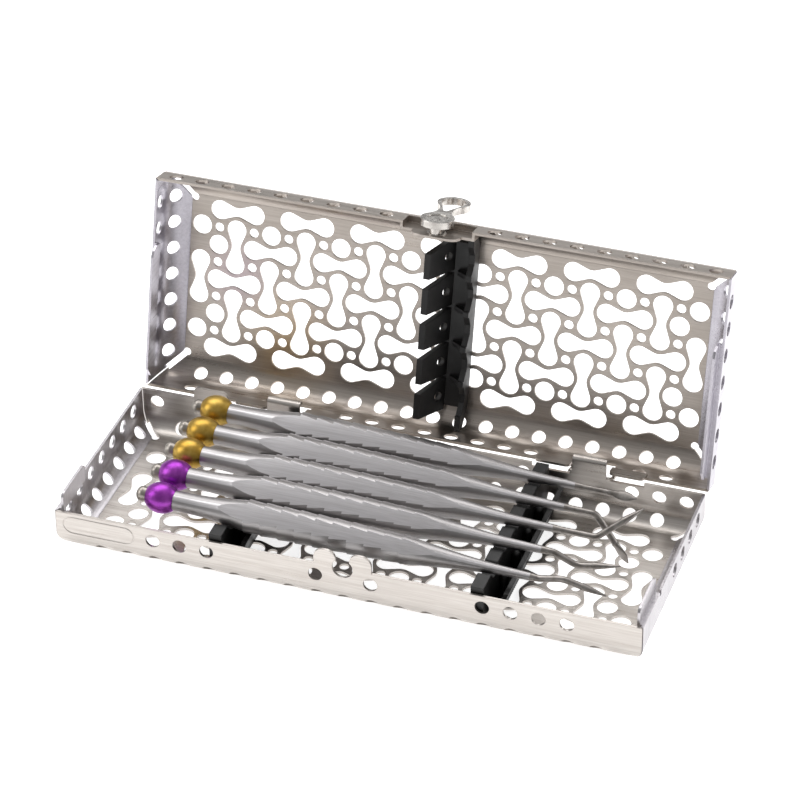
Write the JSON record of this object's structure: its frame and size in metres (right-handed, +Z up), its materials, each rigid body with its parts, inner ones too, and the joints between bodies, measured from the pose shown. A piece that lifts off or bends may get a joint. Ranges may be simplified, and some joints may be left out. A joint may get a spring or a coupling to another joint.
{
  "type": "dental instrument cassette with hand scalers",
  "caption": "Hinged, perforated steel sterilising cassette with a quarter-turn latch and silicone rails, holding single-ended dental scalers and explorers.",
  "frame": {"origin": "middle of the base tray's flat underside, between the side walls and the front and rear walls", "axes": "+X along the cassette from the ball ends to the working ends, +Y from the latch to the hinge, +Z up out of the base tray; the lid stands open at 104 degrees"},
  "size_m": [0.203, 0.1224, 0.0921],
  "materials": {
    "tray_steel": "satin brushed stainless sheet, grain along the length, deburred edges",
    "latch_steel": "tumbled stainless, slightly brighter than the sheet",
    "silicone": "matt black silicone, moulded",
    "handle_steel": "satin stainless, bead blasted, with brighter ground flats",
    "tip_steel": "polished stainless shanks and ground blades",
    "ball_gold": "gold anodised aluminium, satin",
    "ball_purple": "purple anodised aluminium, satin"
  },
  "bodies": {
    "base": {"base_floor": "tray_steel", "base_front_wall": "tray_steel", "base_rear_wall": "tray_steel", "base_left_wall": "tray_steel", "base_right_wall": "tray_steel", "base_rail_left": "silicone", "base_rail_right": "silicone"},
    "lid": {"lid_panel": "tray_steel", "lid_front_wall": "tray_steel", "lid_rear_wall": "tray_steel", "lid_left_wall": "tray_steel", "lid_right_wall": "tray_steel", "lid_hinge_loop_left": "latch_steel", "lid_hinge_loop_right": "latch_steel", "lid_rail": "silicone", "lid_rail_fingers": "silicone", "latch_washer": "latch_steel"},
    "latch": {"latch_handle": "latch_steel", "latch_lobes": "latch_steel", "latch_key": "latch_steel", "latch_spindle": "latch_steel", "latch_rivet": "latch_steel"},
    "instrument_1": {"instrument_1_handle": "handle_steel", "instrument_1_ball": "ball_gold", "instrument_1_knob": "handle_steel", "instrument_1_tip": "tip_steel"},
    "instrument_2": {"instrument_2_handle": "handle_steel", "instrument_2_ball": "ball_gold", "instrument_2_knob": "handle_steel", "instrument_2_tip": "tip_steel"},
    "instrument_3": {"instrument_3_handle": "handle_steel", "instrument_3_ball": "ball_gold", "instrument_3_knob": "handle_steel", "instrument_3_tip": "tip_steel"},
    "instrument_4": {"instrument_4_handle": "handle_steel", "instrument_4_ball": "ball_purple", "instrument_4_knob": "handle_steel", "instrument_4_tip": "tip_steel"},
    "instrument_5": {"instrument_5_handle": "handle_steel", "instrument_5_ball": "ball_purple", "instrument_5_knob": "handle_steel", "instrument_5_tip": "tip_steel"}
  },
  "joints": [
    {"name": "lid_hinge", "type": "hinge", "parent": "base", "child": "lid", "pos_m": [0, 0.0393, 0.0129], "axis": [-1, 0, 0], "range_deg": [-104, 0], "deforming": ["lid_rail_fingers"]},
    {"name": "latch_turn", "type": "hinge", "parent": "lid", "child": "latch", "pos_m": [0, 0.06038, 0.08752], "axis": [0, 0.2419, 0.9703], "range_deg": [-90, 0]},
    {"name": "instrument_1_lift", "type": "slide", "parent": "base", "child": "instrument_1", "axis": [0, 0, 1], "range_m": [0, 0.07]},
    {"name": "instrument_2_lift", "type": "slide", "parent": "base", "child": "instrument_2", "axis": [0, 0, 1], "range_m": [0, 0.07]},
    {"name": "instrument_3_lift", "type": "slide", "parent": "base", "child": "instrument_3", "axis": [0, 0, 1], "range_m": [0, 0.07]},
    {"name": "instrument_4_lift", "type": "slide", "parent": "base", "child": "instrument_4", "axis": [0, 0, 1], "range_m": [0, 0.07]},
    {"name": "instrument_5_lift", "type": "slide", "parent": "base", "child": "instrument_5", "axis": [0, 0, 1], "range_m": [0, 0.07]}
  ]
}
